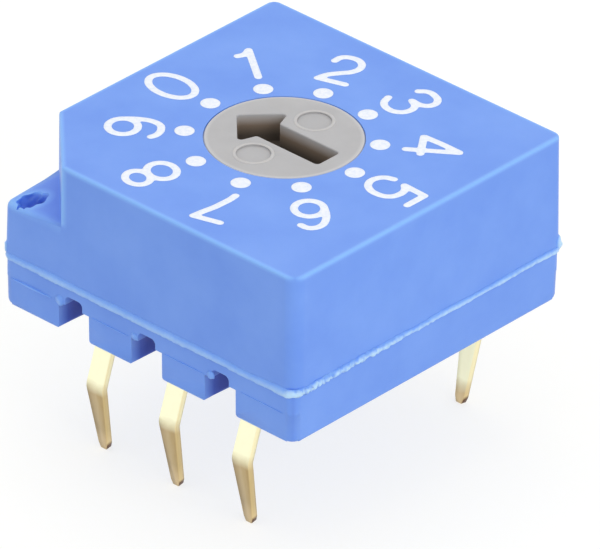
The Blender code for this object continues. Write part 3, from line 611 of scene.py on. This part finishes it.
def makeBase(sizes):
    # the blocks between the openings have rounded lower corners, the foot's edges are rounded by
    # keeping only what lies in the envelope, and then the openings get rounded edges where they
    # leave the front and rear walls
    bm = copyOf("base")

    def atOpening(v, halfWidth):
        return min(abs(v.co.x - place * sizes["pitch"] * mm) for place in (-1, 0, 1)) < halfWidth * mm

    def blockCorner(e):
        first, second = e.verts
        return (
            all(atOpening(v, sizes["halfOpening"]) and abs(v.co.z - footZ) < 0.03 * mm for v in e.verts)
            and abs(first.co.y - second.co.y) > 1 * mm and e.is_convex
        )

    def onOpening(e):
        for v in e.verts:
            if not atOpening(v, sizes["halfOpening"] + sizes["blockCorner"]):
                return False
            if abs(v.co.y) < halfFoot - sizes["faceDepth"] * mm:
                return False
            if not footZ + 0.002 * mm < v.co.z < footZ + sizes["openingTop"] * mm:
                return False
        return e.is_convex and e.calc_length() > 0.02 * mm

    roundEdges(bm, [e for e in bm.edges if blockCorner(e)], sizes["blockCorner"] * mm, 5)
    softened = pieceFrom(bm, "softenedBase")
    cutAway(softened, [footEnvelope(sizes)], "INTERSECT")
    bm = bmesh.new()
    bm.from_mesh(softened.data)
    bpy.data.objects.remove(softened)
    roundEdges(bm, [e for e in bm.edges if onOpening(e)], sizes["openingEdge"] * mm, 3)
    return pieceFrom(bm, "baseBlock")


baseLooks = {**blueLooks, "half shadow": "#3c6ce0", "shadow": "#153aae"}
base = makeBase(baseSizes)
softShade(base)
baseMoulding = mouldedPlastic("blueMouldedPolyesterBase", baseLooks, None, paintedOpeningShade)
dress(base, baseMoulding, "housing", ["base"])
print("base made:", len(base.data.polygons), "faces")


# rotor

# the two ejector marks have a low raised lip; lengths are in mm, places from the rotor's axis
rotorSizes = {
    "headRadius": 2.045, "slotEdge": 0.05, "markPlaces": ((-0.01, 1.14), (-0.01, -1.14)),
    "lipRadius": 0.49, "lipWidth": 0.045, "lipHeight": 0.016, "lipSteps": 10, "shadeDepth": 0.62,
}


def makeRotor(sizes):
    # the edges of the rotor's face, round it and along the slot, are softened
    bm = copyOf("rotor")

    def faceEdge(e):
        if not all(v.co.z > topZ - 10 * touching for v in e.verts):
            return False
        if len(e.link_faces) != 2 or not e.is_convex:
            return False
        return min(abs(f.normal.z) for f in e.link_faces) < 0.3

    roundEdges(bm, [e for e in bm.edges if faceEdge(e)], sizes["slotEdge"] * mm, 3)
    return pieceFrom(bm, "slottedRotor")


def makeLips(sizes):
    # a low ring round each mark: a section turned all the way round, half sunk in the face
    whole = bmesh.new()
    for x, y in sizes["markPlaces"]:
        ring = []
        for i in range(sizes["lipSteps"]):
            angle = math.tau * i / sizes["lipSteps"]
            out = sizes["lipRadius"] + sizes["lipWidth"] * math.cos(angle)
            up = sizes["lipHeight"] * mm * math.sin(angle)
            ring.append(whole.verts.new(((x + out) * mm, y * mm, topZ + up)))
        loop = [whole.edges.new((ring[i - 1], ring[i])) for i in range(len(ring))]
        bmesh.ops.spin(
            whole, geom=ring + loop, cent=(x * mm, y * mm, 0), axis=(0, 0, 1), angle=math.tau, steps=64,
            use_merge=True,
        )
    return pieceFrom(whole, "ejectorLips")


rotor = makeRotor(rotorSizes)
softShade(rotor)
greyMoulding = mouldedPlastic("greyMouldedPolyester", greyLooks, paintedRotorRimHighlight, paintedSlotShade)
dress(rotor, greyMoulding, "rotor", ["rotor"])
lips = makeLips(rotorSizes)
lips.data.shade_smooth()
# the lips are painted a little lighter than the face: a painted highlight where the raised lip catches the
# light
lipLooks = {**greyLooks, "dark": "#bfbdbc", "light": "#c6c4c3"}
dress(lips, mouldedPlastic("greyMouldedPolyesterLips", lipLooks), "rotor", ())
print("rotor made:", len(rotor.data.polygons), "faces")


# terminals and the pieces inside

def cleanPiece(node, name, material, body, angle=35):
    piece = pieceFrom(copyOf(node), name)
    softShade(piece, angle)
    dress(piece, material, body, [node])


goldStrip = goldPlating("goldPlatedStampedStrip", goldLooks)
steelStrip = twoTints("rolledSpringSteel", steelLooks)
rubberRing = twoTints("mouldedNitrileRubber", rubberLooks)
for node in sorted(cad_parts):
    if node.startswith("terminal_"):
        cleanPiece(node, "stamped_" + node, goldStrip, "housing", 50)
cleanPiece("code_disc", "stampedCodeDisc", goldStrip, "rotor")
cleanPiece("rotor_seal", "neckSeal", rubberRing, "rotor")
cleanPiece("detent_spring_left", "clickSpringLeft", steelStrip, "housing", 50)
cleanPiece("detent_spring_right", "clickSpringRight", steelStrip, "housing", 50)
print("terminals and inner pieces made")


# printed dial

# digits as pen strokes in mm: x to the right, y up, from the point where the digit's spoke meets
# the digit ring; each digit stands with its foot towards the rotor
dialSizes = {
    "places": 10, "digitRing": 3.825, "digitShift": (0.01, -0.04), "stroke": 0.105, "film": 0.012,
    "detail": 0.03, "keep": 0.45, "dotRing": 2.494, "dotRadius": 0.26, "dotShift": (-0.02, -0.06),
}


def loopOf(centreX, centreY, radiusX, radiusY, steps=12):
    angles = [math.tau * i / steps for i in range(steps)]
    return [(centreX + radiusX * math.cos(a), centreY + radiusY * math.sin(a)) for a in angles]


closedStrokes = {
    0: [loopOf(-0.07, 0.0, 0.46, 0.70)],
    6: [loopOf(0.05, -0.28, 0.38, 0.385)],
    8: [loopOf(-0.01, 0.385, 0.35, 0.31), loopOf(0.0, -0.31, 0.41, 0.37)],
    9: [loopOf(0.0, 0.28, 0.39, 0.385)],
}
openStrokes = {
    1: [[(-0.36, 0.44), (-0.18, 0.49), (-0.02, 0.70)], [(-0.02, 0.70), (-0.04, -0.70)]],
    2: [
        [(-0.46, 0.30), (-0.37, 0.53), (-0.12, 0.62), (0.16, 0.53), (0.29, 0.26), (0.19, -0.01),
         (-0.06, -0.21), (-0.34, -0.44), (-0.49, -0.69)],
        [(-0.49, -0.69), (0.28, -0.69)],
    ],
    3: [
        [(-0.44, 0.36), (-0.30, 0.56), (-0.05, 0.62), (0.23, 0.54), (0.34, 0.31), (0.21, 0.08),
         (-0.10, -0.02)],
        [(-0.10, -0.02), (0.18, -0.10), (0.31, -0.34), (0.22, -0.63), (-0.05, -0.77),
         (-0.35, -0.70), (-0.53, -0.47)],
    ],
    4: [
        [(0.12, -0.70), (0.12, 0.66)],
        [(0.10, 0.66), (-0.24, 0.19), (-0.55, -0.29)],
        [(-0.55, -0.31), (0.30, -0.31)],
    ],
    5: [
        [(0.29, 0.67), (-0.35, 0.67)],
        [(-0.35, 0.67), (-0.38, -0.03)],
        [(-0.38, -0.03), (-0.22, 0.12), (0.02, 0.17), (0.29, 0.06), (0.41, -0.24), (0.35, -0.57),
         (0.14, -0.77), (-0.10, -0.79), (-0.33, -0.65), (-0.42, -0.43)],
    ],
    6: [
        [(0.41, 0.48), (0.28, 0.63), (0.11, 0.67), (-0.10, 0.58), (-0.25, 0.34), (-0.32, 0.02),
         (-0.33, -0.28)],
    ],
    7: [
        [(-0.33, 0.68), (0.42, 0.66)],
        [(0.42, 0.66), (0.28, 0.36), (0.12, 0.06), (0.02, -0.20), (-0.07, -0.45), (-0.12, -0.69)],
    ],
    9: [
        [(0.38, 0.36), (0.42, 0.10), (0.42, -0.15), (0.35, -0.45), (0.19, -0.65), (0.0, -0.70),
         (-0.20, -0.67), (-0.35, -0.58), (-0.42, -0.49)],
    ],
}


def spokeAngle(position, places):
    # the dial runs clockwise from the marking corner's side
    return math.radians(180 - 360 / places * position)


def strokeLine(curve, place, points, closed):
    # one smooth pen line through the points
    spline = curve.splines.new("BEZIER")
    spline.bezier_points.add(len(points) - 1)
    spline.use_cyclic_u = closed
    for target, (x, y) in zip(spline.bezier_points, points):
        target.co = place @ Vector((x, y, 0))
        target.handle_left_type = "AUTO"
        target.handle_right_type = "AUTO"


def makeDial(sizes):
    # drawn in mm: each stroke is a round tube with balls at its ends, all melted into one shape,
    # which is then pressed flat into a film of ink
    curve = bpy.data.curves.new("dialStrokes", "CURVE")
    curve.dimensions = "3D"
    curve.resolution_u = 5
    curve.bevel_depth = sizes["stroke"]
    curve.bevel_resolution = 3
    curve.use_fill_caps = True
    whole = bmesh.new()
    for digit in range(sizes["places"]):
        spoke = spokeAngle(digit, sizes["places"])
        place = (
            Matrix.Translation((*sizes["digitShift"], 0)) @ Matrix.Rotation(spoke, 4, "Z")
            @ Matrix.Translation((sizes["digitRing"], 0, 0)) @ Matrix.Rotation(-math.pi / 2, 4, "Z")
        )
        for points in closedStrokes.get(digit, []):
            strokeLine(curve, place, points, True)
        for points in openStrokes.get(digit, []):
            strokeLine(curve, place, points, False)
            for x, y in (points[0], points[-1]):
                bmesh.ops.create_uvsphere(
                    whole, u_segments=16, v_segments=8, radius=sizes["stroke"],
                    matrix=place @ Matrix.Translation((x, y, 0)),
                )
    holder = bpy.data.objects.new("dialStrokes", curve)
    bpy.context.scene.collection.objects.link(holder)
    bpy.context.view_layer.update()
    tubes = bpy.data.meshes.new_from_object(holder.evaluated_get(bpy.context.evaluated_depsgraph_get()))
    whole.from_mesh(tubes)
    bpy.data.objects.remove(holder)
    drawn = pieceFrom(whole, "drawnDigits")
    melt = drawn.modifiers.new("melt together", "REMESH")
    melt.mode = "VOXEL"
    melt.voxel_size = sizes["detail"]
    thin = drawn.modifiers.new("fewer faces", "DECIMATE")
    thin.ratio = sizes["keep"]
    bakeModifiers(drawn)

    ink = bmesh.new()
    ink.from_mesh(drawn.data)
    bpy.data.objects.remove(drawn)
    bmesh.ops.scale(ink, verts=ink.verts, vec=(mm, mm, mm * sizes["film"] / sizes["stroke"]))
    shiftX, shiftY = sizes["dotShift"]
    for position in range(sizes["places"]):
        spoke = spokeAngle(position, sizes["places"])
        x = (shiftX + sizes["dotRing"] * math.cos(spoke)) * mm
        y = (shiftY + sizes["dotRing"] * math.sin(spoke)) * mm
        spot = Matrix.Translation((x, y, 0))
        made = bmesh.ops.create_uvsphere(
            ink, u_segments=40, v_segments=10, radius=sizes["dotRadius"] * mm, matrix=spot
        )
        bmesh.ops.scale(ink, verts=made["verts"], vec=(1, 1, sizes["film"] / sizes["dotRadius"]))
    bmesh.ops.translate(ink, verts=ink.verts, vec=(0, 0, topZ))
    return pieceFrom(ink, "printedDial")


dial = makeDial(dialSizes)
dial.data.shade_smooth()
dress(dial, twoTints("padPrintedWhiteInk", inkLooks), "housing")
print("dial printed")


# weld flash and other moulding flash

# the flash's section as (out, up, share of the ragged wander), in mm from the seam at the wall
beadSizes = {
    "section": (
        (-0.05, -0.07, 0.0), (0.02, -0.075, 0.8), (0.06, -0.05, 1.0), (0.075, 0.0, 0.7),
        (0.055, 0.05, 0.7), (0.03, 0.10, 0.5), (0.005, 0.15, 0.3), (-0.05, 0.15, 0.0),
    ),
    "seed": 7, "step": 0.03, "cornerRadius": 0.36, "nearCornerRadius": 0.27, "ragged": 0.018,
    "grain": 0.10, "fineGrain": 0.04, "wave": 0.9, "waveHeight": 0.02, "widthWave": 1.3, "widthWander": 0.25,
    "nearFront": 4, "roughSide": 3.6, "roughWidth": 0.15, "roughRaise": 0.07, "lowered": -0.03,
    "rightSlope": 0.40, "raggedTop": 0.5, "smoothing": 0.35,
}


def outlineRound(radii, step):
    # points and outward directions round the seam, evenly stepped, corners rounded; the radii are
    # those of the corners back right, back left, front left and front right
    line = []
    for quarter, radius in enumerate(radii):
        turn = Matrix.Rotation(quarter * math.pi / 2, 3, "Z")
        start = radii[quarter - 1] - halfFoot
        end = halfFoot - radius
        pieces = round((end - start) / step)
        for i in range(pieces):
            along = Vector((halfFoot, start + (end - start) * i / pieces, 0))
            line.append((turn @ along, turn @ Vector((1, 0, 0))))
        steps = round(radius * math.pi / 2 / step)
        for i in range(steps):
            angle = math.pi / 2 * i / steps
            out = Vector((math.cos(angle), math.sin(angle), 0))
            line.append((turn @ (Vector((end, end, 0)) + out * radius), turn @ out))
    return line


def makeBead(sizes):
    # plastic squeezed out of the welded joint: an uneven line all the way round, roughest on the
    # right side next to the front corner
    noise.seed_set(sizes["seed"])
    bm = bmesh.new()
    rings = []
    radii = [sizes["cornerRadius"] * mm] * 3 + [sizes["nearCornerRadius"] * mm]
    for point, out in outlineRound(radii, sizes["step"] * mm):
        right = max(0.0, out.x)
        nearFront = min(1.0, max(0.0, (0.5 * mm - point.y) / (sizes["nearFront"] * mm)))
        rough = 1.0 + (sizes["roughSide"] - 1.0) * right * nearFront
        lift = sizes["lowered"] + sizes["roughRaise"] * right
        lift += sizes["waveHeight"] * noise.noise(point / (sizes["wave"] * mm))
        swelling = noise.noise(point / (sizes["widthWave"] * mm) + Vector((3, 9, 4)))
        width = 1.0 + sizes["widthWander"] * swelling + sizes["roughWidth"] * right * nearFront
        ring = []
        for outward, up, share in sizes["section"]:
            if up > 0:
                up *= 1 - sizes["rightSlope"] * right
            place = point + out * outward * width * mm + Vector((0, 0, seamZ + (up * width + lift) * mm))
            wander = noise.noise_vector(place / (sizes["grain"] * mm))
            wander += 0.5 * noise.noise_vector(place / (sizes["fineGrain"] * mm))
            if 0 < share < 1:
                share += sizes["raggedTop"] * right
            place += wander * sizes["ragged"] * rough * share * mm
            ring.append(bm.verts.new(place))
        rings.append(ring)
    for ring, after in zip(rings, rings[1:] + rings[:1]):
        for i in range(len(ring)):
            j = (i + 1) % len(ring)
            bm.faces.new((ring[i], ring[j], after[j], after[i]))
    bmesh.ops.smooth_vert(
        bm, verts=bm.verts, factor=sizes["smoothing"], use_axis_x=True, use_axis_y=True, use_axis_z=True,
    )
    return pieceFrom(bm, "weldFlash")


flashPlastic = mouldedPlastic("blueWeldFlash", flashLooks, paintedFlashHighlight)
bead = makeBead(beadSizes)
bead.data.shade_smooth()
dress(bead, flashPlastic, "housing", ())

# small lumps of flash: place from the rotor's axis and up from the foot, and half sizes, in mm
lumpSizes = {
    "lumps": (
        ((-3.04, -5.02, 0.89), (0.14, 0.08, 0.17)), ((-0.42, -5.02, 0.93), (0.11, 0.06, 0.12)),
        ((2.20, -5.02, 0.90), (0.12, 0.06, 0.13)), ((-4.93, -4.93, 1.66), (0.11, 0.11, 0.22)),
        ((4.92, 4.92, 1.62), (0.17, 0.17, 0.24)),
    ),
    "rough": 0.30,
}
# the thin fins at the base's parting line: from and to along x, and half height, in mm
finSizes = {
    "fins": (
        (-4.75, -3.30, 0.028), (-1.95, -0.60, 0.011), (0.60, 2.00, 0.011), (3.20, 4.70, 0.009),
    ),
    "up": 0.84,
}


def makeFlash(sizes, fins):
    whole = bmesh.new()
    for number, (place, half) in enumerate(sizes["lumps"]):
        made = bmesh.ops.create_icosphere(whole, subdivisions=3, radius=1.0)["verts"]
        for vert in made:
            vert.co *= 1.0 + sizes["rough"] * noise.noise(vert.co * 1.7 + Vector((number * 7, 2, 5)))
        bmesh.ops.scale(whole, verts=made, vec=[s * mm for s in half])
        bmesh.ops.translate(whole, verts=made, vec=(place[0] * mm, place[1] * mm, footZ + place[2] * mm))
    for start, end, height in fins["fins"]:
        made = bmesh.ops.create_icosphere(whole, subdivisions=3, radius=1.0)["verts"]
        bmesh.ops.scale(whole, verts=made, vec=((end - start) / 2 * mm, 2 * height * mm, height * mm))
        wallY = -halfFoot + 0.4 * height * mm
        middle = ((start + end) / 2 * mm, wallY, footZ + fins["up"] * mm)
        bmesh.ops.translate(whole, verts=made, vec=middle)
    return pieceFrom(whole, "mouldingFlash")


flash = makeFlash(lumpSizes, finSizes)
flash.data.shade_smooth()
dress(flash, flashPlastic, "housing", ())
print("weld bead and flash made")


# camera, floor and light

# angles in degrees; the distance and the shifts from the middle of the foot in mm
viewSizes = {
    "azimuth": 42.2365, "elevation": 31.083, "roll": 0.9463, "lens": 665.4, "distance": 283.28,
    "right": 0.4631, "up": 0.6328,
}


def makeCamera(sizes):
    turn = math.radians(sizes["azimuth"])
    tilt = math.radians(sizes["elevation"])
    roll = math.radians(sizes["roll"])
    forward = Vector((-math.sin(turn) * math.cos(tilt), math.cos(turn) * math.cos(tilt), -math.sin(tilt)))
    level = Vector((math.cos(turn), math.sin(turn), 0))
    above = level.cross(forward)
    right = level * math.cos(roll) + above * math.sin(roll)
    up = above * math.cos(roll) - level * math.sin(roll)
    aim = Vector((0, 0, footZ))
    place = aim - forward * sizes["distance"] * mm
    place += right * sizes["right"] * mm + up * sizes["up"] * mm
    data = bpy.data.cameras.new("photoCamera")
    data.sensor_width = 36.0
    data.lens = sizes["lens"]
    data.clip_start = 0.01
    data.clip_end = 10.0
    camera = bpy.data.objects.new("photoCamera", data)
    bpy.context.scene.collection.objects.link(camera)
    axes = Matrix((right, up, -forward)).transposed().to_4x4()
    camera.matrix_world = Matrix.Translation(place) @ axes
    bpy.context.scene.camera = camera


makeCamera(viewSizes)

# softboxes as place and size in mm, and radiance
lightLevels = {
    "ambient": 0.80,
    "softboxes": {
        "overheadSoftbox": ((-20, 0, 90), 90, 0.52),
        "rightSoftbox": ((90, -10, 50), 60, 1.95),
        "frontSoftbox": ((-87, -122, 25), 60, 0.15),
    },
    "floor": "#eaeaea", "floorSeen": "#9c9b94", "floorGlow": 0.72,
}


def seenDirectly(tree):
    # 1 for what the camera sees, straight or in a gloss, 0 for the light that falls on the switch
    path = addNode(tree, "ShaderNodeLightPath").outputs
    straight = reckon(tree, "MAXIMUM", path["Is Camera Ray"], path["Is Glossy Ray"])
    return reckon(tree, "MAXIMUM", straight, path["Is Transmission Ray"])


def makeFloor(levels):
    # pale paper sweep; what the camera sees of it is lifted to white, its shadow stays
    bm = bmesh.new()
    bmesh.ops.create_grid(bm, x_segments=1, y_segments=1, size=1.5)
    floor = pieceFrom(bm, "paperFloor")
    material, tree = newMaterial("palePaper")
    place = addNode(tree, "ShaderNodeTexCoord").outputs["Object"]
    fibres = addNode(tree, "ShaderNodeTexNoise", {"Vector": place, "Scale": 900.0, "Detail": 3.0})
    bump = addNode(tree, "ShaderNodeBump", {
        "Height": fibres.outputs["Fac"], "Strength": 0.05, "Distance": 0.01 * mm,
    })
    seen = seenDirectly(tree)
    shade = blend(tree, seen, hexColour(levels["floor"]), hexColour(levels["floorSeen"]))
    paper = addNode(tree, "ShaderNodeBsdfDiffuse", {"Color": shade, "Normal": bump.outputs["Normal"]})
    strength = reckon(tree, "MULTIPLY", seen, levels["floorGlow"])
    glow = addNode(tree, "ShaderNodeEmission", {"Color": (1, 1, 1, 1), "Strength": strength})
    both = addNode(tree, "ShaderNodeAddShader", {0: paper.outputs[0], 1: glow.outputs[0]})
    floor.data.materials.append(closeMaterial(material, both))


def makeWorld(levels):
    world = bpy.data.worlds.new("paleRoom")
    bpy.context.scene.world = world
    world.use_nodes = True
    tree = world.node_tree
    tree.nodes.clear()
    strength = ramp(tree, seenDirectly(tree), 0.0, 1.0, levels["ambient"], 1.0)
    background = addNode(tree, "ShaderNodeBackground", {"Color": (1, 1, 1, 1), "Strength": strength})
    addNode(tree, "ShaderNodeOutputWorld", {"Surface": background.outputs[0]})


def softbox(name, place, size, radiance):
    # a square soft light aimed at the middle of the switch; radiance 1 is as bright as white paper
    data = bpy.data.lights.new(name, "AREA")
    data.size = size * mm
    data.energy = radiance * math.pi * (size * mm) ** 2
    lamp = bpy.data.objects.new(name, data)
    bpy.context.scene.collection.objects.link(lamp)
    lamp.location = Vector(place) * mm
    away = Vector(place) * mm - Vector((0, 0, topZ))
    lamp.rotation_euler = away.to_track_quat("Z", "Y").to_euler()


makeFloor(lightLevels)
makeWorld(lightLevels)
for name, (place, size, radiance) in lightLevels["softboxes"].items():
    softbox(name, place, size, radiance)
bpy.context.scene.view_settings.view_transform = "Standard"
print("camera and light set")
